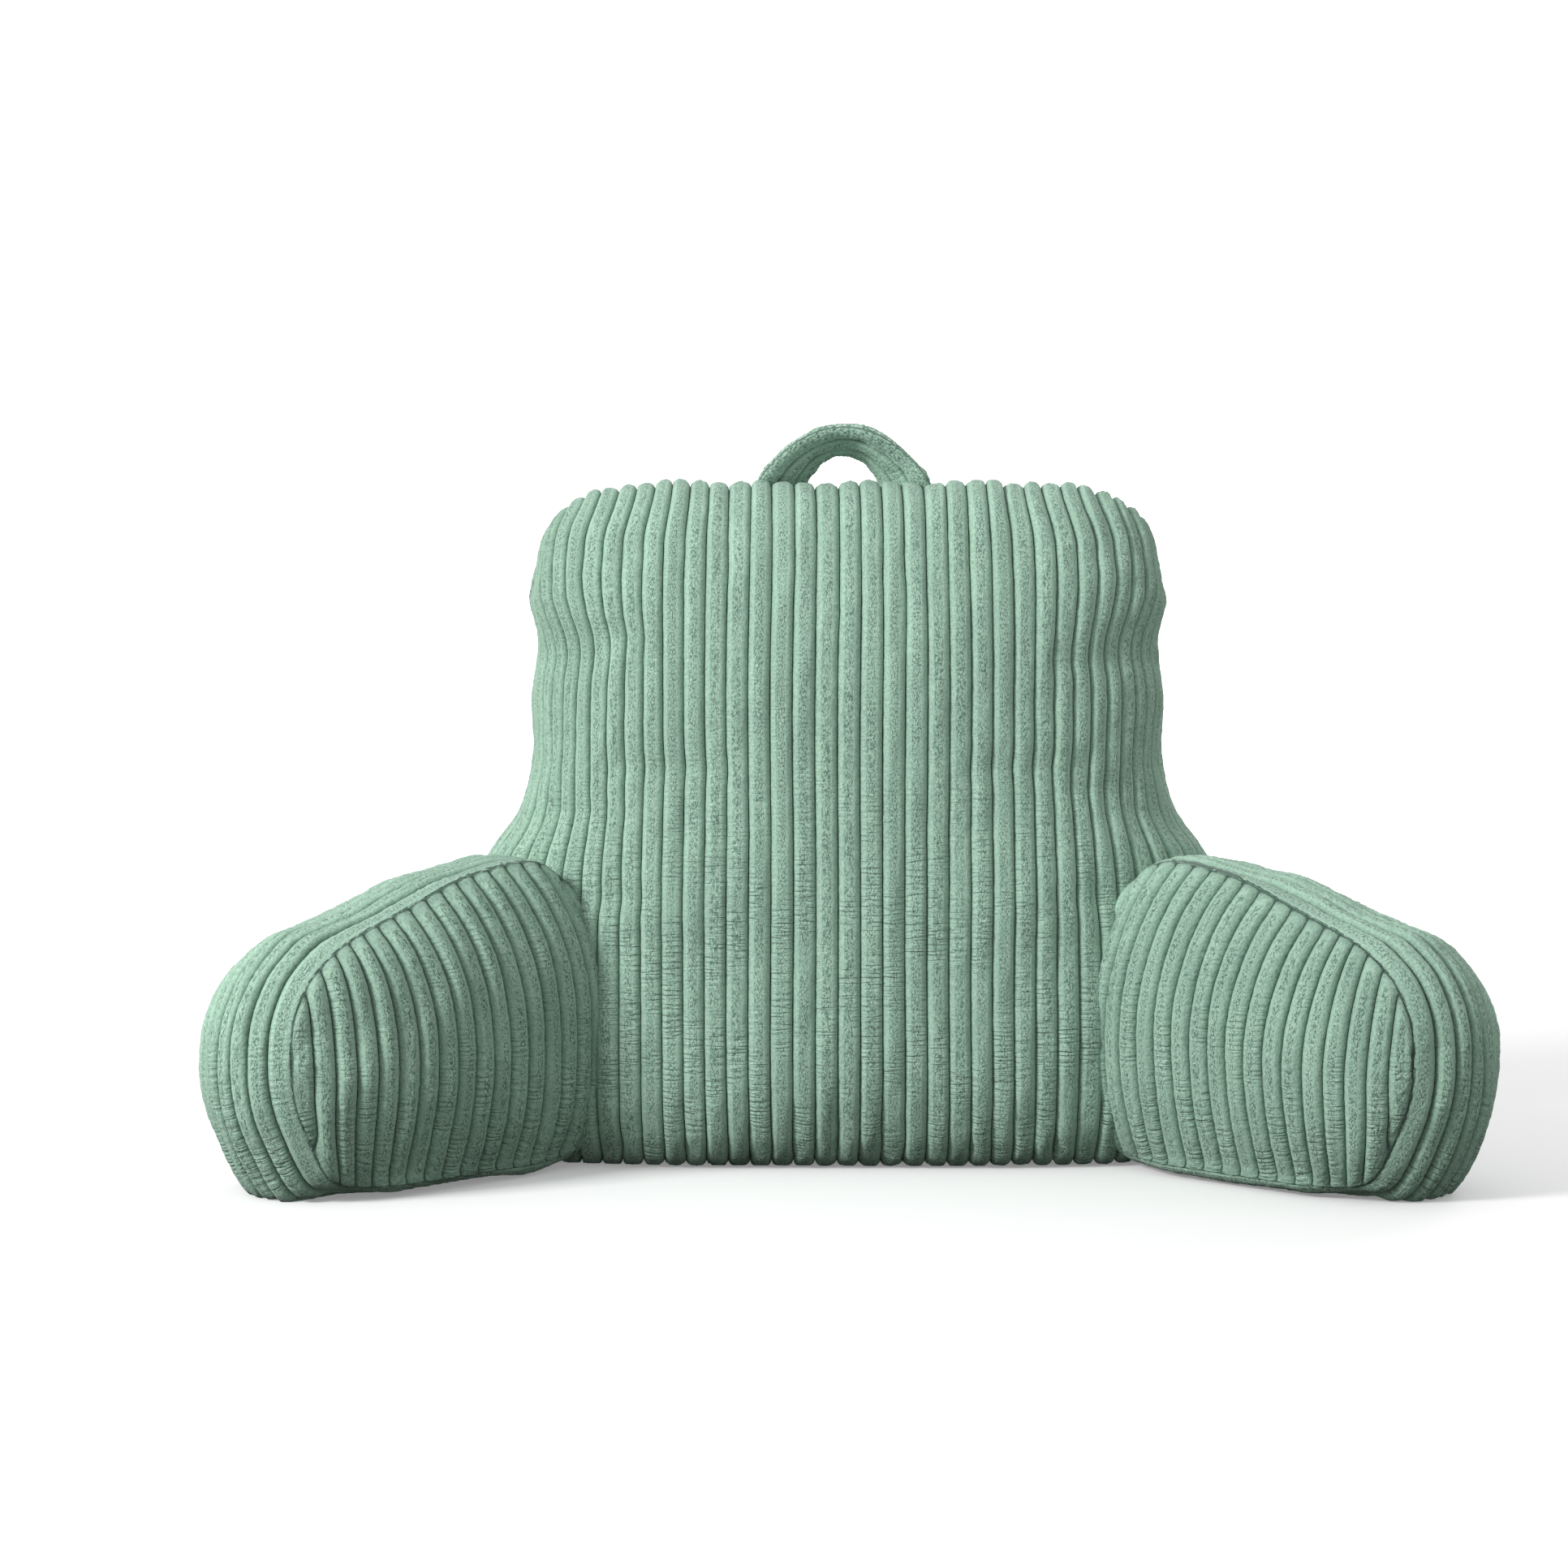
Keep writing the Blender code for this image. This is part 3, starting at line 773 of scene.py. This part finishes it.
def make_panel(name, side, outer, seed):
    """A D panel with upright ribs that end in round tips at the seam, crowned over the arm's cheek."""
    edges = []
    for edge in (ARM_LOWER_EDGE, ARM_UPPER_EDGE):
        curve = curve_through(edge, np.linspace(0, len(edge) - 1, EDGE_POINTS))
        edges.append((np.maximum.accumulate(curve[:, 0]), curve[:, 1]))
    fine = np.linspace(ARM_ROOT, ARM_TIP - PANEL_INSET, CROWN_POINTS)
    width, arc_shares = arc_of(fine, PANEL_CROWN * panel_dome(fine, 0.5))
    ribs = round(width / RIB_PITCH)
    shares, rib_of, heights = rib_columns(ribs, ARM_RIB_SQUARENESS)
    columns = ribs * RIB_STEPS
    facing = 1 if outer else -1
    mesh, column, row = flat_cloth(name, columns, PANEL_ROWS)
    share_up = (1 - np.cos(math.pi * row / PANEL_ROWS)) / 2
    across = shares[column] * width
    up = share_up * PANEL_CLOTH_LENGTH
    inside = np.minimum(1.0, 2 * np.minimum(shares[column], 1 - shares[column]) * ribs)
    wander = WANDER * uneven(seed, WANDER_LENGTH)(across, up) * inside * np.sin(math.pi * share_up)
    place = np.interp(shares, arc_shares, fine)
    low, high = panel_ends(place, *edges)
    low, high = low[column] + PANEL_INSET, np.maximum(low[column], high[column] - PANEL_INSET)
    height = low + (high - low) * share_up
    along = place[column] + wander + panel_bow(height, place[column])
    rise = PANEL_CROWN * panel_dome(place[column], share_up)
    rise = np.hypot(rise, floor_roll(along, low) * (1 - share_up) ** 2)
    cheek = ARM_WIDTH if outer else 0.0
    points = arm_place(side, along, cheek + facing * rise, height)
    from_ends = np.minimum(height - low, high - height) / FINGER_END
    from_tip = way_to_tip(along, height) / TIP_END
    finger = np.sqrt(1 - (1 - np.clip(np.minimum(from_ends, from_tip), 0.0, 1.0)) ** 2)
    rib = swollen(heights[column], seed + 1, across, up)
    lumps = LUMP * uneven(seed + 2, LUMP_LENGTH)(across, up) * inside
    # The half of the last rib, along the seam at the tip, stays shallow
    at_tip = shares[column] * ribs > ribs - 0.5
    push = (np.where(at_tip, SEAM_DEPTH, ARM_RIB_DEPTH) * (rib - 1) + lumps) * finger
    values = {
        "rib_height": np.where(at_tip, np.sqrt(heights[column]), heights[column]) * finger,
        "cloth": on_cloth(across, height, rib_of[column], side + PANEL_APART * facing),
        "crinkle": crinkles(points[:, 2], *PANEL_CRINKLES),
    }
    return make_cushion(name, mesh, points, push, values, on_cheek(side, cheek - facing * PANEL_RIM))


# The carry handle


def handle_edge(half_span, top, spring, depth, bend, share):
    """Points of one edge of the strap, from 0 to 1 round the arch, with a tail past each end."""
    turn = np.clip(math.pi * share, 0.0, math.pi)
    rise = (top - spring) * np.sin(turn) ** bend
    x = HANDLE_MIDDLE_X + half_span * np.cos(turn)
    below = HANDLE_ROOT * np.maximum(0.0, np.abs(share - 0.5) - 0.5) / HANDLE_TAIL
    return np.column_stack([x, np.full_like(x, FRONT_Y + depth), spring + rise - below])


def make_handle():
    """The padded strap, a flat tube of ribs that runs round the arch."""
    columns = 2 * HANDLE_RIBS * RIB_STEPS
    mesh, column, row = flat_cloth("carry_handle_strap", columns, HANDLE_STEPS)
    shares, rib_of, heights = rib_columns(HANDLE_RIBS)
    column = column % columns
    upper = column <= columns // 2
    place = np.where(upper, column, columns - column)
    share, rib = shares[place], heights[place]
    way = -HANDLE_TAIL + (1 + 2 * HANDLE_TAIL) * np.arange(HANDLE_STEPS + 1) / HANDLE_STEPS
    front, rear = (handle_edge(*edge, way) for edge in HANDLE_EDGES)
    ahead = np.gradient((front + rear) / 2, axis=0)
    width = rear - front
    face = np.cross(width, ahead)
    face /= np.linalg.norm(face, axis=1)[:, None]
    at_edge = (share < 0.5 / HANDLE_RIBS) | (share > 1 - 0.5 / HANDLE_RIBS)
    shown = np.where(at_edge, 1.0, rib)
    body = HANDLE_VALLEY_SHARE + (1 - HANDLE_VALLEY_SHARE) * shown
    edge = np.sqrt(np.maximum(0.0, 1 - np.abs(2 * share - 1) ** HANDLE_SQUARENESS))
    half = HANDLE_THICKNESS / 2 * body * edge * np.where(upper, 1.0, -1.0)
    points = front[row] + width[row] * share[:, None] + face[row] * half[:, None]
    across, along = share * STRAP_WIDTH, row / HANDLE_STEPS * STRAP_LENGTH
    values = {
        "rib_height": shown,
        "cloth": on_cloth(across, along, rib_of[place], np.where(upper, 0.0, STRAP_APART)),
        "crinkle": np.full(len(points), HANDLE_CRINKLE),
    }
    push = HANDLE_LUMP * uneven(HANDLE_SEED, HANDLE_LUMP_LENGTH)(across, along)
    return make_cushion("carry_handle_strap", mesh, points, push, values)


# Materials


def new_group(name, takes, gives):
    """A shader group with named colour and value sockets."""
    group = bpy.data.node_groups.new(name, "ShaderNodeTree")
    for way, sockets in (("INPUT", takes), ("OUTPUT", gives)):
        for socket, kind in sockets:
            group.interface.new_socket(socket, in_out=way, socket_type=f"NodeSocket{kind}")
    return group, group.nodes.new("NodeGroupInput"), group.nodes.new("NodeGroupOutput")


def set_sockets(node, values):
    """Sets a node's named sockets to plain values."""
    for socket, value in values.items():
        node.inputs[socket].default_value = value


def add_node(tree, kind, sockets=None, **settings):
    """A node with its settings, and its sockets fed by other nodes or set to plain values."""
    node = tree.nodes.new(f"ShaderNode{kind}")
    for name, value in settings.items():
        setattr(node, name, value)
    for socket, value in (sockets or {}).items():
        if isinstance(value, bpy.types.NodeSocket):
            tree.links.new(value, node.inputs[socket])
        else:
            node.inputs[socket].default_value = value
    return node


def cloth_noise(tree, scale, stretch, detail=2.0, roughness=0.5):
    """Noise laid on the cloth, with so many bumps a metre, drawn together across and along."""
    place = add_node(tree, "Attribute", attribute_name="cloth")
    laid = add_node(tree, "Mapping", {"Vector": place.outputs["Vector"], "Scale": (*stretch, 1.0)})
    fineness = {"Scale": scale, "Detail": detail, "Roughness": roughness}
    return add_node(tree, "TexNoise", {"Vector": laid.outputs["Vector"], **fineness}).outputs["Fac"]


def between(tree, value, low, high, to_low=0.0, to_high=1.0):
    """The value's place between low and high, eased, as a value from to_low to to_high."""
    sockets = {"Value": value, "From Min": low, "From Max": high, "To Min": to_low, "To Max": to_high}
    return add_node(tree, "MapRange", sockets, interpolation_type="SMOOTHSTEP").outputs["Result"]


def maths(tree, operation, a, b):
    """One step of maths with two values."""
    return add_node(tree, "Math", {0: a, 1: b}, operation=operation).outputs[0]


def mix_colours(tree, share, a, b):
    """Colour a with a share of colour b in it."""
    node = add_node(tree, "Mix", data_type="RGBA")
    colour_a, colour_b = (socket for socket in node.inputs if socket.type == "RGBA")
    for socket, value in ((node.inputs[0], share), (colour_a, a), (colour_b, b)):
        if isinstance(value, bpy.types.NodeSocket):
            tree.links.new(value, socket)
        else:
            socket.default_value = value
    return next(socket for socket in node.outputs if socket.type == "RGBA")


def make_nap_group():
    """Short pile: mottled all over, partly in its own uneven tone and partly in painted shade and painted
    glints, and parted and speckled along the crests of the ribs, where the dark specks are painted shade
    and the pale ones painted glints.
    """
    colours = (("Pile", "Color"), ("Parted Shade", "Color"), ("Tip Glints", "Color"))
    takes = (*colours, ("Speckle", "Float"), ("Shade Patches", "Float"))
    tree, given, made = new_group("short pile", takes, (("Colour", "Color"), ("Height", "Float")))
    pile, parted_shade, tip_glints = (given.outputs[name] for name, _ in colours)
    rib = add_node(tree, "Attribute", attribute_name="rib_height").outputs["Fac"]
    crest = between(tree, rib, 0.87, 1.0)
    parting = between(tree, cloth_noise(tree, PARTINGS_A_METRE, (2.2, 0.6)), 0.28, 0.60, 0.55, 1.0)
    speck = cloth_noise(tree, SPECKS_A_METRE, (1.25, 0.62), 3.0, 0.72)
    mottle = cloth_noise(tree, MOTTLES_A_METRE, (1.2, 0.8), 3.0, 0.75)
    # Along the crests, where the pile parts, the dark specks are painted shade and the pale specks
    # painted glints
    parted_crest = between(tree, maths(tree, "MULTIPLY", crest, parting), 0.0, 1.0, 0.22, 1.0)
    strength = maths(tree, "MULTIPLY", parted_crest, given.outputs["Speckle"])
    dark = maths(tree, "MULTIPLY", between(tree, speck, 0.49, 0.59), strength)
    pale = maths(tree, "MULTIPLY", between(tree, speck, 0.47, 0.36), strength)
    # Patches of painted shade
    shade_patch = between(tree, cloth_noise(tree, SHADE_PATCHES_A_METRE, (1.0, 0.7)), 0.40, 0.62)
    shade_patch = maths(tree, "MULTIPLY", shade_patch, given.outputs["Shade Patches"])
    # The mottle mixes painted shade and painted glints into the pile's own colour
    colour = mix_colours(tree, between(tree, mottle, 0.50, 0.66, 0.0, 0.30), pile, parted_shade)
    colour = mix_colours(tree, between(tree, mottle, 0.50, 0.36, 0.0, 0.45), colour, tip_glints)
    colour = mix_colours(tree, dark, colour, parted_shade)
    colour = mix_colours(tree, pale, colour, tip_glints)
    colour = mix_colours(tree, shade_patch, colour, parted_shade)
    depth = maths(tree, "MULTIPLY", speck, between(tree, parted_crest, 0.0, 1.0, 0.4, 1.0))
    depth = maths(tree, "ADD", depth, maths(tree, "MULTIPLY", mottle, 0.5))
    height = maths(tree, "SUBTRACT", 1.0, depth)
    tree.links.new(colour, made.inputs["Colour"])
    tree.links.new(height, made.inputs["Height"])
    return tree


def make_valley_group():
    """Painted shade between two ribs, darkest where the pile of both closes over the valley, and lighter
    down their flanks.
    """
    takes = (("Colour", "Color"), ("Valley Shade", "Color"), ("Strength", "Float"), ("Flank Shade", "Float"))
    tree, given, made = new_group("valley between ribs", takes, (("Colour", "Color"),))
    rib = add_node(tree, "Attribute", attribute_name="rib_height").outputs["Fac"]
    # Painted shade: a soft darkening down the flanks, and a dark line in the valley
    flank_shade = maths(tree, "MULTIPLY", between(tree, rib, 0.95, 0.25), given.outputs["Flank Shade"])
    bottom = between(tree, rib, 0.44, 0.05)
    shade = maths(tree, "MAXIMUM", flank_shade, bottom)
    share = maths(tree, "MULTIPLY", shade, given.outputs["Strength"])
    colour = mix_colours(tree, share, given.outputs["Colour"], given.outputs["Valley Shade"])
    tree.links.new(colour, made.inputs["Colour"])
    return tree


def make_crinkle_group():
    """Fine creases across the ribs where the cloth is pushed together."""
    takes, gives = (("Strength", "Float"),), (("Height", "Float"),)
    tree, given, made = new_group("crinkles across the ribs", takes, gives)
    crease = between(tree, cloth_noise(tree, CREASES_A_METRE, (0.14, 1.0), 1.0), 0.38, 0.68)
    where = between(tree, cloth_noise(tree, CREASED_PLACES_A_METRE, (1.0, 0.8)), 0.42, 0.60)
    amount = add_node(tree, "Attribute", attribute_name="crinkle").outputs["Fac"]
    height = maths(tree, "MULTIPLY", maths(tree, "MULTIPLY", crease, where), amount)
    height = maths(tree, "MULTIPLY", height, given.outputs["Strength"])
    tree.links.new(height, made.inputs["Height"])
    return tree


def make_plush(name, brightness, speckle, shade_patches, flank_shade):
    """A plush cloth, from the shared groups."""
    material = bpy.data.materials.new(name)
    material.use_nodes = True
    tree = material.node_tree
    shader = tree.nodes["Principled BSDF"]
    set_sockets(shader, {"Roughness": 0.92, "Specular IOR Level": 0.12, "Sheen Weight": 0.30})
    set_sockets(shader, {"Sheen Roughness": 0.45, "Sheen Tint": (0.78, 0.92, 0.84, 1.0)})

    def shade(colour):
        return (*(channel * brightness for channel in colour), 1.0)

    # The pile's colour, with painted shade and painted glints in it
    nap = add_node(tree, "Group", node_tree=GROUPS["nap"])
    set_sockets(nap, {"Pile": shade(PILE), "Parted Shade": shade(PARTED_SHADE), "Tip Glints": shade(TIP_GLINTS)})
    set_sockets(nap, {"Speckle": speckle, "Shade Patches": shade_patches})
    # Painted shade in the valleys and down the flanks of the ribs
    valley = add_node(tree, "Group", node_tree=GROUPS["valley"])
    set_sockets(valley, {"Valley Shade": shade(VALLEY_SHADE), "Strength": VALLEY_SHADE_STRENGTH, "Flank Shade": flank_shade})
    tree.links.new(nap.outputs["Colour"], valley.inputs["Colour"])
    tree.links.new(valley.outputs["Colour"], shader.inputs["Base Color"])
    crinkle = add_node(tree, "Group", node_tree=GROUPS["crinkle"])
    set_sockets(crinkle, {"Strength": CRINKLE_STRENGTH})
    height = maths(tree, "SUBTRACT", nap.outputs["Height"], crinkle.outputs["Height"])
    bump = add_node(tree, "Bump", {"Height": height, "Strength": 1.0, "Distance": PILE_LENGTH})
    tree.links.new(bump.outputs["Normal"], shader.inputs["Normal"])
    return material


GROUPS = {
    "nap": make_nap_group(),
    "valley": make_valley_group(),
    "crinkle": make_crinkle_group(),
}

# The flank shade and the shade patches are painted shade in the colour of the pile
back_plush = make_plush("plush of the back", brightness=1.0, speckle=0.8, shade_patches=0.10, flank_shade=0.26)
boxing_plush = make_plush("plush of the boxings", brightness=1.03, speckle=0.85, shade_patches=0.12, flank_shade=0.55)
panel_plush = make_plush("plush of the panels", brightness=1.0, speckle=0.9, shade_patches=0.14, flank_shade=0.32)
handle_plush = make_plush("plush of the handle", brightness=1.0, speckle=1.0, shade_patches=0.14, flank_shade=0.5)

# The pieces
back_moves = back_wrinkles()
dress(make_back(back_moves), "back_cushion", back_plush)
for arm, side, seed in ARMS:
    boxing = make_boxing(f"{arm}_boxing_cover", side, seed)
    dress(boxing, f"{arm}_boxing", boxing_plush)
    for where, outer in (("inner", False), ("outer", True)):
        cover = make_panel(f"{arm}_{where}_panel_cover", side, outer, seed + PANEL_SEED + outer)
        dress(cover, f"{arm}_{where}_panel", panel_plush)
dress(make_handle(), "carry_handle", handle_plush)

# The studio


def make_paint(name, sockets):
    """A plain paint with its sockets set."""
    paint = bpy.data.materials.new(name)
    paint.use_nodes = True
    set_sockets(paint.node_tree.nodes["Principled BSDF"], sockets)
    return paint


def make_paper(name, glow):
    """White paper with a glow of its own, so that it stays pale all over."""
    dull = {"Base Color": PAPER_COLOUR, "Roughness": 0.95, "Specular IOR Level": 0.0}
    return make_paint(name, {**dull, "Emission Color": (1.0, 1.0, 1.0, 1.0), "Emission Strength": glow})


def make_sweep():
    """The floor, which turns up into the wall behind."""
    turn_ends = SWEEP_FLOOR_STEPS + SWEEP_TURN_STEPS
    mesh, _, step = flat_cloth("floor_and_wall", 2, turn_ends + SWEEP_WALL_STEPS)
    turn = np.clip((step - SWEEP_FLOOR_STEPS) / SWEEP_TURN_STEPS, 0.0, 1.0) * math.pi / 2
    floor = (step / SWEEP_FLOOR_STEPS - 1) * SWEEP_FLOOR_LENGTH
    behind = np.where(step <= SWEEP_FLOOR_STEPS, floor, SWEEP_RADIUS * np.sin(turn))
    rise = SWEEP_RADIUS * (1 - np.cos(turn)) + np.maximum(0, step - turn_ends) * SWEEP_WALL_STEP
    across = read_points(mesh)[:, 0] * SWEEP_HALF_WIDTH
    write_points(mesh, np.column_stack([across, SWEEP_STARTS_AT + behind, rise]))
    mesh.shade_smooth()
    mesh.materials.append(make_paper("paper of the floor", PAPER_GLOW))
    mesh.materials.append(make_paper("paper of the wall", WALL_GLOW))
    for face in mesh.polygons:
        face.material_index = int(face.center.y > WALL_PAINT_FROM)
    return put_in_scene("floor_and_wall", mesh)


def make_card():
    """A dark card under the paper, which takes the light from below off the foot of the pillow."""
    mesh, _, _ = flat_cloth("dark_card", 1, 1)
    flat = read_points(mesh)
    depth = np.where(flat[:, 1] < 0, CARD_FRONT, CARD_REAR)
    height = np.full(len(flat), -CARD_BELOW)
    write_points(mesh, np.column_stack([flat[:, 0] * CARD_HALF_WIDTH, depth, height]))
    mesh.materials.append(make_paint("dark card", {"Base Color": CARD_COLOUR}))
    return put_in_scene("dark_card", mesh)


def add_light(name, place, size, power):
    """A soft square light that faces the pillow."""
    data = bpy.data.lights.new(name, "AREA")
    data.shape = "SQUARE"
    data.size = size
    data.energy = power
    light = put_in_scene(name, data)
    light.location = place
    aim = np.array(LIGHTS_AIM) - np.array(place)
    yaw = math.atan2(aim[1], aim[0]) - math.pi / 2
    pitch = math.atan2(math.hypot(aim[0], aim[1]), -aim[2])
    light.rotation_euler = (pitch, 0.0, yaw)


sweep = make_sweep()
sweep.visible_diffuse = False
card = make_card()
card.visible_camera = False

bpy.context.scene.view_settings.view_transform = "Standard"
camera_data = bpy.data.cameras.new("camera")
camera_data.lens = CAMERA_LENS
camera_data.sensor_width = SENSOR_WIDTH
camera = put_in_scene("camera", camera_data)
camera.location = CAMERA_PLACE
camera.rotation_euler = (math.pi / 2 - CAMERA_DOWN, 0.0, 0.0)
bpy.context.scene.camera = camera

room = bpy.data.worlds.new("studio")
room.use_nodes = True
set_sockets(room.node_tree.nodes["Background"], {"Color": (1.0, 1.0, 1.0, 1.0), "Strength": ROOM_LIGHT})
bpy.context.scene.world = room
for light_name, light_place, light_size, light_power in LIGHTS:
    add_light(light_name, light_place, light_size, light_power)
